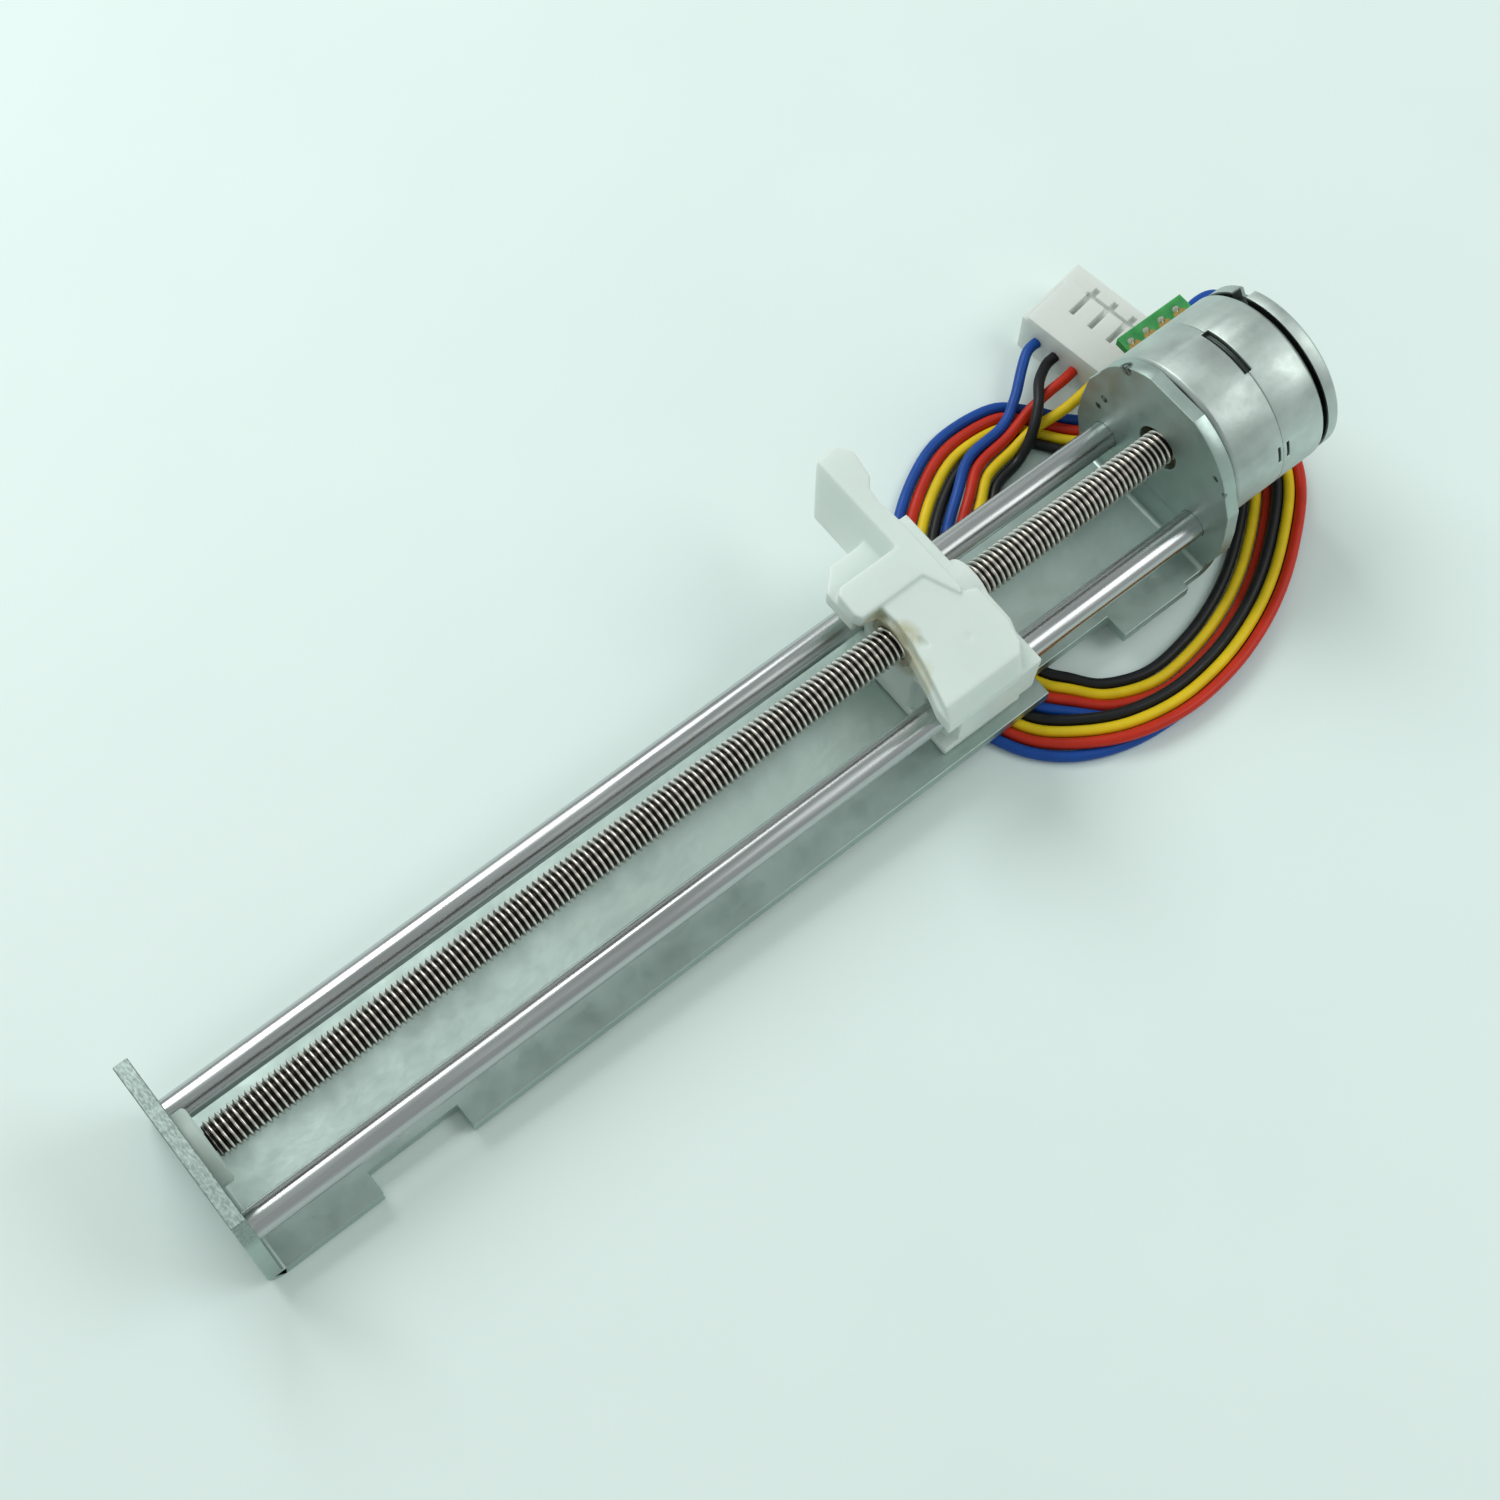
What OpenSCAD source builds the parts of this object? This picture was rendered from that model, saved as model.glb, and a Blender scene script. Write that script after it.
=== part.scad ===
// Small linear stage: a can stack stepping motor turns an M3 lead screw that drives a
// moulded slider along two steel guide rods in a U-shaped sheet steel bracket.
// Units are mm and +Z is up. The origin is the centre of the bracket's underside,
// with +X towards the motor and +Y to the left of the screw.

/* [Bracket] */
// Distance between the outer faces of the two end plates.
bracket_len = 92.2; // [60:0.2:140]
// Width of the base strip.
base_w = 16; // [12:0.5:24]
// Sheet thickness of the bracket.
sheet_t = 1.2; // [0.8:0.1:2]
// Inner radius of the two folds.
bend_r = 0.4; // [0.2:0.1:1.5]
// Height of the screw axis above the bracket's underside.
axis_z = 10.2; // [8:0.1:16]
// Height of the near plate's top edge above the screw axis.
near_plate_rise = 3.9; // [2:0.1:7]
// Depth of the two notches in the base's right edge.
notch_depth = 2.1; // [0:0.1:4]
// Length of each notch along the base.
notch_len = 8; // [4:0.5:12]
// Distance from the centre to each notch's nearer end.
notch_start = 28; // [15:0.5:35]

/* [Screw and rods] */
// Nominal diameter of the lead screw.
screw_d = 3; // [2:0.1:5]
// Diameter of each guide rod.
rod_d = 2.44; // [1.5:0.02:4]
// Sideways distance from the screw axis to each rod.
rod_y = 5.16; // [4:0.02:8]
// Distance that the rods lie below the screw axis.
rod_drop = 4.74; // [2:0.02:6]
// Diameter of the bush that carries the screw's near end.
bush_d = 6.2; // [4:0.1:8]

/* [Motor] */
// Outer diameter of the motor cans.
can_d = 15; // [12:0.5:25]
// Length of the front can.
front_can_len = 5; // [3:0.1:10]
// Length of the rear can.
rear_can_len = 4.5; // [3:0.1:10]
// Wall thickness of the cans.
can_wall = 0.6; // [0.3:0.05:1]
// Thickness of the rear cover.
cover_t = 1.2; // [0.8:0.1:3]
// Width of the groove between the rear can and the cover.
groove_w = 0.4; // [0.2:0.05:1]
// Number of claw poles on each pole plate.
pole_count = 5; // [3:1:12]

/* [Slider] */
// Near face of the slider's body, from the bracket's centre.
slider_x = 17.95; // [-40:0.05:17.95]
// Length of the slider's body along the rods.
slider_len = 7.75; // [5:0.05:12]
// Height of the slider's top plate above the screw axis.
plate_rise = 2; // [1.8:0.1:4]
// Height of the raised rim above the top plate.
rim_rise = 1.4; // [0.5:0.1:3]
// Reach of the slider's arm to the left of the screw axis.
arm_reach = 14.4; // [9:0.1:20]
// Radial running clearance of the rods and screw in the slider.
run_gap = 0.03; // [0.01:0.01:0.1]

/* [Wiring] */
// Outer diameter of each wire.
wire_d = 0.92; // [0.6:0.05:1]
// Sideways spacing of the wires where they lie side by side.
lane = 1.02; // [1:0.01:1.2]
// Width of the connector housing, across its four ways.
conn_w = 9.8; // [8:0.1:12]
// Depth of the connector housing, along its wires.
conn_len = 7.2; // [5:0.1:10]
// Height of the connector housing.
conn_h = 4.8; // [3:0.1:6]
// Pitch of the four ways.
conn_pitch = 2; // [1.25:0.05:2.5]

/* [Output] */
// Which sub-part to show, or all of them.

/* [Hidden] */

$fn = 64;

half_len = bracket_len / 2;
plate_in = half_len - sheet_t;
fold_out = bend_r + sheet_t;
rod_z = axis_z - rod_drop;
rod_r = rod_d / 2;
screw_r = screw_d / 2;
hole_r = 2;
can_r = can_d / 2;
can_front = half_len;
can_seam = can_front + front_can_len;
can_rear = can_seam + rear_can_len;
cover_front = can_rear + groove_w;
cover_rear = cover_front + cover_t;
bush_face = -plate_in + 1.1;
screw_start = bush_face + 0.4;
journal_r = 0.75;
shaft_r = 1;
shaft_gap = 0.02;
bearing_r = 2;
magnet_r = 3.7;
pole_r = 3.95;
pole_t = 0.45;
bobbin_r = 4.45;
shaft_end = can_rear + 0.3;
ball_r = 0.4;
slider_end = slider_x + slider_len;
plate_z = axis_z + plate_rise;
rim_z = plate_z + rim_rise;
plate_t = 1.6;
// Top of the slider's deck, a small step below the ridge and the rib.
deck_z = rim_z - 0.3;
// The ridge's near edge and the rib's left side, on the slider.
ridge = 6.15;
rib_left = 4.85;
sleeve_r = 2.6;
foot_z = sheet_t + 0.2;
nut_r = 2.05;
boss_r = 2.45;
wire_r = wire_d / 2;
board_top = axis_z - 0.5;
board_t = 0.8;
board_y = 7.5;
board_w = 2.1;
pad_x = [50.2, 51.8, 53.4, 55.0];
pad_y = 8.5;
pin_y = 7.78;
conn_x = 52.7;
conn_y = 14.5;
conn_z = -1.6;
conn_turn = 8;
entry_z = conn_z + conn_h / 2;

zinc = [0.62, 0.68, 0.66];
steel = [0.78, 0.78, 0.78];
moulded = [0.92, 0.94, 0.9];
bronze = [0.72, 0.55, 0.35];
dark = [0.2, 0.2, 0.22];
copper = [0.75, 0.4, 0.2];

// A cylinder along +X from x0 to x1, centred on (y, z).
module rod_x(x0, x1, r, y = 0, z = axis_z) {
  translate([x0, y, z])
    rotate([0, 90, 0])
      cylinder(r = r, h = x1 - x0);
}

// A cylinder along +X whose radius goes from ra to rb.
module taper_x(x0, x1, ra, rb, y = 0, z = axis_z) {
  translate([x0, y, z])
    rotate([0, 90, 0])
      cylinder(r1 = ra, r2 = rb, h = x1 - x0);
}

// A block between two corners.
module block(a, b) {
  translate(a)
    cube(b - a);
}

// A profile drawn in (y, z) and pushed along +X from x0 to x1.
module slab_x(x0, x1) {
  translate([x0, 0, 0])
    rotate([90, 0, 90])
      linear_extrude(x1 - x0)
        children();
}

// ---- Bracket ----

// A quarter fold about an axis along Y, from the base up into an end plate.
module fold(side, w0, w1) {
  cx = half_len - fold_out;
  intersection() {
    translate([side * cx, w0, fold_out])
      rotate([-90, 0, 0])
        difference() {
          cylinder(r = fold_out, h = w1 - w0);
          translate([0, 0, -1])
            cylinder(r = bend_r, h = w1 - w0 + 2);
        }
    block([side > 0 ? cx : -half_len - 1, w0, 0],
          [side > 0 ? half_len + 1 : -cx, w1, fold_out]);
  }
}

module bracket() {
  cx = half_len - fold_out;
  near_top = axis_z + near_plate_rise;
  color(zinc)
    difference() {
      union() {
        block([-cx, -base_w / 2, 0], [cx, base_w / 2, sheet_t]);
        fold(-1, -base_w / 2, base_w / 2);
        fold(1, -7.5, 7.5);
        slab_x(-half_len, -plate_in)
          polygon([[-8, fold_out], [8, fold_out], [7.2, near_top], [-7.2, near_top]]);
        slab_x(plate_in, half_len)
          motor_plate_outline();
      }
      block([-notch_start - notch_len, -base_w / 2 - 1, -1],
            [-notch_start, -base_w / 2 + notch_depth, sheet_t + 1]);
      block([notch_start, -base_w / 2 - 1, -1],
            [notch_start + notch_len, -base_w / 2 + notch_depth, sheet_t + 1]);
      block([cx - 1.6, 7.5, -1], [cx + 2, 9, sheet_t + 1]);
      block([cx - 1.6, -9, -1], [cx + 2, -7.5, sheet_t + 1]);
      for (s = [-1, 1]) {
        rod_x(-half_len - 1, -plate_in + 1, rod_r, s * rod_y, rod_z);
        rod_x(plate_in - 1, half_len + 1, rod_r, s * rod_y, rod_z);
      }
      rod_x(plate_in - 1, half_len + 1, hole_r);
      rod_x(-half_len - 1, -plate_in + 1, 1.6);
    }
}

// The motor plate: a disc with a flat top above cheeks that narrow to the fold.
module motor_plate_outline() {
  intersection() {
    translate([0, axis_z])
      circle(r = can_r);
    translate([-can_r, axis_z - can_r])
      square([can_d, can_r + 7.1]);
  }
  polygon([
    [-7.5, fold_out], [7.5, fold_out], [8.4, axis_z - 5.4], [8.35, axis_z - 2.9],
    [8.05, axis_z], [7.28, axis_z + 1.8], [-7.28, axis_z + 1.8], [-8.05, axis_z],
    [-8.35, axis_z - 2.9], [-8.4, axis_z - 5.4]
  ]);
}

module guide_rod(side) {
  c = 0.15;
  rod_x(-half_len + c, half_len - c, rod_r, side * rod_y, rod_z);
  taper_x(-half_len, -half_len + c, rod_r - c, rod_r, side * rod_y, rod_z);
  taper_x(half_len - c, half_len, rod_r, rod_r - c, side * rod_y, rod_z);
}

module guide_rod_left() {
  color(steel)
    guide_rod(1);
}

module guide_rod_right() {
  color(steel)
    guide_rod(-1);
}

// The pale bush in the near plate, with a blind bore for the screw's journal.
module end_bush() {
  color([0.9, 0.9, 0.86])
    difference() {
      union() {
        rod_x(-half_len, -plate_in, 1.6);
        rod_x(-plate_in, bush_face - 0.2, bush_d / 2);
        taper_x(bush_face - 0.2, bush_face, bush_d / 2, bush_d / 2 - 0.2);
      }
      rod_x(-half_len + 0.6, bush_face + 1, journal_r + shaft_gap);
    }
}

// ---- Lead screw ----

module lead_screw() {
  color(steel)
    union() {
      rod_x(-half_len + 0.7, screw_start, journal_r);
      taper_x(screw_start, screw_start + 0.3, screw_r - 0.3, screw_r);
      rod_x(screw_start + 0.3, can_front - 0.4, screw_r);
      taper_x(can_front - 0.4, can_front - 0.1, screw_r, screw_r - 0.3);
      rod_x(can_front - 0.1, shaft_end, shaft_r);
    }
}

// ---- Slider ----

// Plan outline of the slider's top plate.
module plate_outline() {
  x0 = slider_x - 2;
  polygon([
    [x0 + 0.2, -8.5], [x0 + 0.3, -7], [x0 + 0.9, -5.2], [x0 + 1.7, -2], [x0 + 1.8, 1.5],
    [x0 + 0.3, 1.9], [x0, 2.6], [x0, 5.6], [x0 + 1.6, 7.2], [x0 + 3.8, 7.2],
    [x0 + 3.8, 11.6], [x0 + 6.1, arm_reach - 0.2], [x0 + 8, arm_reach],
    [x0 + 8.9, arm_reach - 1.3], [x0 + 8.5, 10.7], [x0 + 7.8, 9.9], [x0 + 7.6, 8.5],
    [x0 + 8.2, 7.2], [x0 + 9.1, 6.5], [x0 + 9.1, -0.5], [x0 + 9.6, -0.9],
    [x0 + 9.5, -4.6], [x0 + 8.7, -6.8], [x0 + 7.2, -8.5]
  ]);
}

// Plan outline of the deck, the thick part of the plate on the rib's right.
module deck_outline() {
  x0 = slider_x - 2;
  polygon([
    [x0 + 0.2, -8.5], [x0 + 1, -5.8], [x0 + 1.6, -3.6], [x0 + 2, -1.8], [x0 + 2.2, 0.1],
    [x0 + 2.1, 2.5], [x0 + 7.7, 2.5], [x0 + 7.8, -1], [x0 + 8.8, -1.4], [x0 + 8.9, -4.9],
    [x0 + 8.4, -6.8], [x0 + 6.9, -8.5]
  ]);
}

// Plan outline of the parts that stand above the deck: the ridge, the arm and one rib.
module rim_outline() {
  x0 = slider_x - 2;
  polygon([
    [x0 + ridge + 1.25, -1.2], [x0 + ridge, 1.8], [x0 + 0.3, 1.8], [x0, 2.4],
    [x0 + 0.1, 4.4], [x0 + 0.6, rib_left], [x0 + 3.8, rib_left],
    [x0 + 3.8, 11.6], [x0 + 6.1, arm_reach - 0.2], [x0 + 8, arm_reach],
    [x0 + 8.9, arm_reach - 1.3], [x0 + 8.5, 10.7], [x0 + 7.8, 9.9], [x0 + 7.6, 8.5],
    [x0 + 7.8, 6.9], [x0 + 7.8, -0.7]
  ]);
}

// Room cleared above a slope that climbs from z0 up to the ridge, between y0 and y1.
module above_slope(y0, y1, z0) {
  xr = slider_x - 2 + ridge;
  translate([0, y1, 0])
    rotate([90, 0, 0])
      linear_extrude(y1 - y0)
        polygon([
          [xr, rim_z + 1], [xr, rim_z], [xr - 0.77 * (rim_z - z0), z0], [xr - 5, z0],
          [xr - 5, rim_z + 1]
        ]);
}

module slider_body() {
  nut_end = slider_x + 4.2;
  plate_under = plate_z - plate_t;
  color(moulded)
    difference() {
      union() {
        translate([0, 0, plate_under])
          linear_extrude(plate_t)
            plate_outline();
        translate([0, 0, plate_under])
          linear_extrude(deck_z - plate_under)
            deck_outline();
        translate([0, 0, plate_under])
          linear_extrude(plate_t + rim_rise)
            rim_outline();
        slab_x(slider_x, slider_end)
          polygon([
            [-3.2, foot_z], [3.2, foot_z], [4.6, foot_z + 1.2], [7.6, rod_z],
            [7.6, plate_under], [-8.2, plate_under], [-7.9, rod_z],
            [-4.6, foot_z + 1.2]
          ]);
        for (s = [-1, 1])
          rod_x(slider_x + 0.55, slider_end, sleeve_r, s * rod_y, rod_z);
        rod_x(slider_x - 0.2, slider_end, boss_r);
        block([slider_x + 0.05, -7, foot_z], [slider_end, -3, foot_z + 0.8]);
      }
      for (s = [-1, 1]) {
        rod_x(slider_x - 4, slider_end + 3, rod_r + run_gap, s * rod_y, rod_z);
        taper_x(slider_x + 0.54, slider_x + 0.8, rod_r + run_gap + 0.25,
                rod_r + run_gap, s * rod_y, rod_z);
        block([slider_x - 4, s * rod_y - 2.7, rod_z - 3],
              [slider_x + 0.55, s * rod_y + 2.7, rod_z + 2.5]);
      }
      rod_x(slider_x - 4, nut_end, nut_r);
      rod_x(nut_end - 1, slider_end + 3, screw_r + 0.3);
      block([slider_x - 4, -2.5, axis_z - 4], [slider_x - 0.2, 2.5, axis_z + 1.75]);
      above_slope(7.2, arm_reach + 1, plate_under - 0.01);
      above_slope(rib_left, 7.3, plate_z);
      // The rounded-off edge of the right-hand end.
      slab_x(slider_x - 3, slider_end + 1)
        polygon([[-7.3, rim_z], [-8.6, plate_z - 0.3], [-10, plate_z - 0.3], [-10, rim_z + 1],
                 [-7.3, rim_z + 1]]);
      // A shallow sink in the deck and the round mark of an ejector pin.
      translate([slider_x, 0, deck_z - 0.25])
        linear_extrude(1)
          polygon([[0.75, -1.3], [0.95, -3.3], [0.35, -2.4]]);
      translate([slider_x + 3.55, -4.2, deck_z - 0.08])
        cylinder(h = 1, r = 0.4);
    }
}

// The threaded insert, shown with a plain running bore.
module drive_nut() {
  nut_end = slider_x + 4.2;
  color([0.85, 0.83, 0.7])
    difference() {
      rod_x(slider_x - 0.1, nut_end, nut_r);
      rod_x(slider_x - 1, nut_end + 1, screw_r + run_gap);
    }
}

// ---- Motor ----

// A cup of the can stack, open at its x1 end when open_rear is true.
module can(x0, x1, open_rear) {
  face0 = open_rear ? x0 + can_wall : x0 - 1;
  face1 = open_rear ? x1 + 1 : x1 - can_wall;
  round = 0.35;
  difference() {
    union() {
      if (open_rear) {
        taper_x(x0, x0 + round, can_r - round, can_r);
        rod_x(x0 + round, x1, can_r);
      } else {
        rod_x(x0, x1 - round, can_r);
        taper_x(x1 - round, x1, can_r, can_r - round);
      }
    }
    rod_x(face0, face1, can_r - can_wall);
    rod_x(x0 - 1, x1 + 1, bearing_r);
  }
}

// The claw poles of one plate: curved teeth round the rotor, from x0 to x1.
module claws(x0, x1, phase) {
  step = 360 / pole_count;
  for (k = [0:pole_count - 1])
    intersection() {
      difference() {
        rod_x(x0, x1, pole_r + pole_t);
        rod_x(x0 - 1, x1 + 1, pole_r);
      }
      translate([0, 0, axis_z])
        rotate([k * step + phase, 0, 0])
          block([x0, -1, 2], [x1, 1, can_r]);
    }
}

module front_can() {
  color(zinc)
    union() {
      difference() {
        can(can_front, can_seam, true);
        seam_slot(can_seam - 0.35, can_seam + 1);
        side_slit(can_seam - 0.4);
      }
      claws(can_front + can_wall - 0.05, can_seam - 1.6, 0);
    }
}

module rear_can() {
  color(zinc)
    union() {
      difference() {
        can(can_seam, can_rear, false);
        seam_slot(can_seam - 1, can_seam + 0.35);
        side_slit(can_seam + 0.5);
      }
      claws(can_seam + 1.4, can_rear - can_wall + 0.05, 0);
    }
}

// The locating slot that the two cans share at their seam.
module seam_slot(x0, x1) {
  intersection() {
    difference() {
      rod_x(x0, x1, can_r + 1);
      rod_x(x0 - 1, x1 + 1, can_r - 0.45);
    }
    translate([0, 0, axis_z])
      rotate([-5, 0, 0])
        block([x0, -2.4, 3], [x1, 2.4, can_r + 1]);
  }
}

// A short narrow slit in the right-hand side of a can at x.
module side_slit(x) {
  translate([0, 0, axis_z])
    rotate([72, 0, 0])
      block([x - 0.13, -0.8, can_r - 0.4], [x + 0.13, 0.8, can_r + 1]);
}

// A flat pole plate with claws that reach between those of its can.
module pole_plate(x0, x1, tip) {
  difference() {
    rod_x(x0, x1, can_r - can_wall);
    rod_x(x0 - 1, x1 + 1, pole_r);
  }
  claws(min(x0, tip), max(x1, tip), 180 / pole_count);
}

module front_pole_plate() {
  color(zinc)
    pole_plate(can_seam - 0.6, can_seam, can_front + can_wall + 0.9);
}

module rear_pole_plate() {
  color(zinc)
    pole_plate(can_seam, can_seam + 0.6, can_rear - can_wall - 0.9);
}

// A spool from x0 to x1 round the claw poles.
module bobbin(x0, x1) {
  flange = 0.3;
  difference() {
    union() {
      rod_x(x0, x0 + flange, can_r - can_wall - 0.05);
      rod_x(x1 - flange, x1, can_r - can_wall - 0.05);
      rod_x(x0, x1, bobbin_r + 0.4);
    }
    rod_x(x0 - 1, x1 + 1, bobbin_r);
  }
}

// The winding on the bobbin that spans x0 to x1.
module coil(x0, x1) {
  difference() {
    rod_x(x0 + 0.3, x1 - 0.3, can_r - can_wall - 0.4);
    rod_x(x0, x1, bobbin_r + 0.4);
  }
}

module front_bobbin() {
  color([0.15, 0.15, 0.15])
    bobbin(can_front + can_wall, can_seam - 0.6);
}

module rear_bobbin() {
  color([0.15, 0.15, 0.15])
    bobbin(can_seam + 0.6, can_rear - can_wall);
}

module front_coil() {
  color(copper)
    coil(can_front + can_wall, can_seam - 0.6);
}

module rear_coil() {
  color(copper)
    coil(can_seam + 0.6, can_rear - can_wall);
}

module bearing(x0, x1) {
  difference() {
    rod_x(x0, x1, bearing_r);
    rod_x(x0 - 1, x1 + 1, shaft_r + shaft_gap);
  }
}

module front_bearing() {
  color(bronze)
    bearing(can_front, can_front + 1.6);
}

module rear_bearing() {
  color(bronze)
    bearing(can_rear - 1.5, can_rear);
}

module rotor_hub() {
  color([0.85, 0.85, 0.8])
    difference() {
      rod_x(can_front + 1.8, can_rear - 1.7, 2.4);
      rod_x(can_front, can_rear, shaft_r);
    }
}

module rotor_magnet() {
  color(dark)
    difference() {
      rod_x(can_front + 1.8, can_rear - 1.7, magnet_r);
      rod_x(can_front, can_rear, 2.4);
    }
}

// The ball that takes the screw's end thrust against the rear cover.
module thrust_ball() {
  color(steel)
    translate([shaft_end + ball_r, 0, axis_z])
      sphere(r = ball_r, $fn = 24);
}

module rear_cover() {
  color(zinc)
    difference() {
      union() {
        rod_x(can_rear, cover_front, can_r - 1);
        rod_x(cover_front, cover_rear - 0.25, can_r - 0.15);
        taper_x(cover_rear - 0.25, cover_rear, can_r - 0.15, can_r - 0.4);
      }
      rod_x(can_rear - 1, shaft_end + 2 * ball_r, shaft_r + 0.15);
      translate([0, 0, axis_z])
        rotate([-35, 0, 0])
          block([cover_front, -0.85, can_r - 1.1], [cover_rear + 1, 0.85, can_r + 1]);
    }
}

// ---- Terminals ----

module terminal_block() {
  color([0.15, 0.15, 0.15])
    difference() {
      block([49.6, 5.5, board_top - board_t - 1.5], [55.6, pin_y + 0.2, board_top - board_t]);
      rod_x(49, 56, can_r);
    }
}

// The four pins as a group of separate solids.
module terminal_pins() {
  color(steel)
    for (x = pad_x)
      translate([x, pin_y, board_top - board_t - 0.9])
        cylinder(d = 0.3, h = board_t + 1.3, $fn = 16);
}

module terminal_board() {
  color([0.2, 0.5, 0.25])
    difference() {
      block([49.4, board_y, board_top - board_t], [56.2, board_y + board_w, board_top]);
      for (x = pad_x)
        translate([x, pin_y, board_top - board_t - 1])
          cylinder(d = 0.3, h = board_t + 2, $fn = 16);
    }
}

// Solder round each pin and over each wire's core, as separate solids.
module solder_joints() {
  color([0.8, 0.78, 0.7])
    for (x = pad_x) {
      translate([x, pin_y, board_top])
        difference() {
          cylinder(r1 = 0.32, r2 = 0.2, h = 0.3, $fn = 16);
          translate([0, 0, -1])
            cylinder(d = 0.3, h = 3, $fn = 16);
        }
      translate([x, pad_y + 0.25, board_top])
        cylinder(r1 = 0.32, r2 = 0.15, h = 0.25, $fn = 16);
    }
}

// ---- Wires ----

// The table under the stage falls away from the near end at this slope.
table_slope = 0.0162;
// Height of the centre of a wire that lies on the table at x.
function lie(x) = wire_r - table_slope * (x + half_len);

// Outermost lane of one turn. Each row is x, y, then the shares of the right-hand
// spread, right-hand stack, left-hand spread and left-hand stack.
loop = [
  [59.8, -0.6, 1, 1, 0, 0], [59, -3.9, 1, 1, 0, 0], [57, -6.9, 1, 1, 0, 0],
  [53.6, -9.8, 1, 1, 0, 0], [49.8, -12.3, 1, 1, 0, 0], [45.6, -14.2, 1, 1, 0, 0],
  [41, -15.4, 1, 1, 0, 0], [36, -15.7, 1, 1, 0, 0], [31, -15, 0.6, 1, 0, 0],
  [26.8, -13, 0.1, 0.5, 0, 0], [23.8, -10, 0, 0, 0, 0], [22.2, -6, 0, 0, 0, 0],
  [22, -1.6, 0, 0, 0, 0], [22.9, 2.8, 0, 0, 0, 0], [25, 7, 0, 0, 0, 0],
  [28.4, 11, 0, 0, 0, 0.2], [32.6, 14, 0, 0, 0.05, 1], [37, 15.6, 0, 0, 0.5, 1],
  [42.2, 15.2, 0, 0, 1, 1]
];

// Sideways place and stack height of each wire in each stretch, blue first.
right_a = [0.5, 0.2, 1.2, 2.2];
right_b = [1.72, 2.74, 3.76, 4.78];
stack_a = [0, 0.96, 0.96, 0.96];
left_b = [2.4, 3.5, 4.59, 5.66];
stack_b = [0.96, 0.96, 0.65, 0.34];

// From the terminal board, round the back of the motor and down to the table.
lead_in = [
  [[55, 8.5, 8.9], [55.05, 8.5, 7.9], [55.55, 8.6, 6.95], [56.7, 9, 6.35], [58.7, 9.5, 6.3],
   [60.6, 9.1, 6], [62.1, 7.1, 4.9], [62.4, 4.4, 2.6], [61.2, 1.8, 0]],
  [[53.4, 8.5, 8.9], [53.42, 8.5, 7.6], [53.85, 8.55, 6.4], [54.95, 8.7, 5.6],
   [56.8, 8.9, 5.3], [58.8, 8.6, 5], [60.6, 6.9, 4.1], [61, 4.3, 2.5], [60.4, 1.9, 1]],
  [[51.8, 8.5, 8.9], [51.8, 8.5, 7.2], [52.2, 8.5, 5.9], [53.2, 8.6, 4.95], [55, 8.7, 4.4],
   [57.4, 8.3, 4], [59.2, 6.7, 3.1], [59.8, 4.2, 1.6], [59.2, 1.9, 0.5]],
  [[50.2, 8.5, 8.9], [50.2, 8.5, 6.8], [50.5, 8.5, 5.2], [51.5, 8.5, 4], [53.3, 8.5, 3.3],
   [55.7, 8.1, 2.9], [57.6, 6.4, 2.1], [58.3, 4.1, 0.8], [58.1, 1.9, 0]]
];

// Outermost lane of the stretch that passes beneath the motor, between the turns.
under_motor = [
  [44.8, 13], [47, 10.6], [50, 8.5], [53.6, 7.3], [56.8, 5.5], [59, 2.6]
];

// Last points before the connector. The black wire crosses over two others.
lead_out = [
  [[43.9, 14.2, 0.3], [46, 15.8, 0.65]],
  [[44.1, 12.6, 0.25], [46.3, 12.8, 0.6]],
  [[43.3, 11.1, 0.1], [46.3, 10.8, 0.5]],
  [[41.9, 10.25, 0.35], [43.1, 10.95, 1.15], [44.6, 12.2, 1.6], [46, 13.7, 1.4]]
];
// The connector way that each wire enters, counted from the left.
way = [0, 2, 3, 1];

function unit(v) = v / norm(v);
function plan(p) = [p[0], p[1]];
// Sideways direction, towards the inside of the loop, of a step from a to b.
function inward(a, b) = let (t = unit(b - a)) [t[1], -t[0]];
// A point of the loop for wire w on turn b (0 or 1).
function loop_point(i, w, b) =
  let (
    p = loop[i],
    prev = i > 0 ? plan(loop[i - 1]) : under_motor[len(under_motor) - 1],
    next = i < len(loop) - 1 ? plan(loop[i + 1]) : under_motor[0],
    flat = (w + 4 * b) * lane,
    right = b == 0 ? right_a[w] : right_b[w],
    left = b == 0 ? flat : left_b[w],
    side = flat + (right - flat) * p[2] + (left - flat) * p[4],
    up = (b == 0 ? stack_a[w] * p[3] : stack_b[w] * p[5]),
    q = plan(p) + inward(prev, next) * side
  )
  [q[0], q[1], lie(q[0]) + up];
// A point of the stretch beneath the motor for wire w.
function under_point(i, w) =
  let (
    n = len(under_motor) - 1,
    prev = i > 0 ? under_motor[i - 1] : plan(loop[len(loop) - 1]),
    next = i < n ? under_motor[i + 1] : plan(loop[0]),
    side = w * lane + (right_b[w] - w * lane) * i / (n + 1),
    q = under_motor[i] + inward(prev, next) * side
  )
  [q[0], q[1], lie(q[0])];
// A point of the connector's frame, placed in the assembly.
function conn_at(x, y, z) =
  [conn_x + x * cos(conn_turn) - y * sin(conn_turn),
   conn_y + x * sin(conn_turn) + y * cos(conn_turn), z];
function way_y(k) = (1.5 - k) * conn_pitch;
function route(w) = concat(
  lead_in[w],
  [for (i = [0:len(loop) - 1]) loop_point(i, w, 0)],
  [for (i = [0:len(under_motor) - 1]) under_point(i, w)],
  [for (i = [0:len(loop) - 1]) loop_point(i, w, 1)],
  lead_out[w],
  [conn_at(-conn_len / 2 - 1.2, way_y(way[w]), entry_z),
   conn_at(-conn_len / 2, way_y(way[w]), entry_z)]
);

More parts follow.
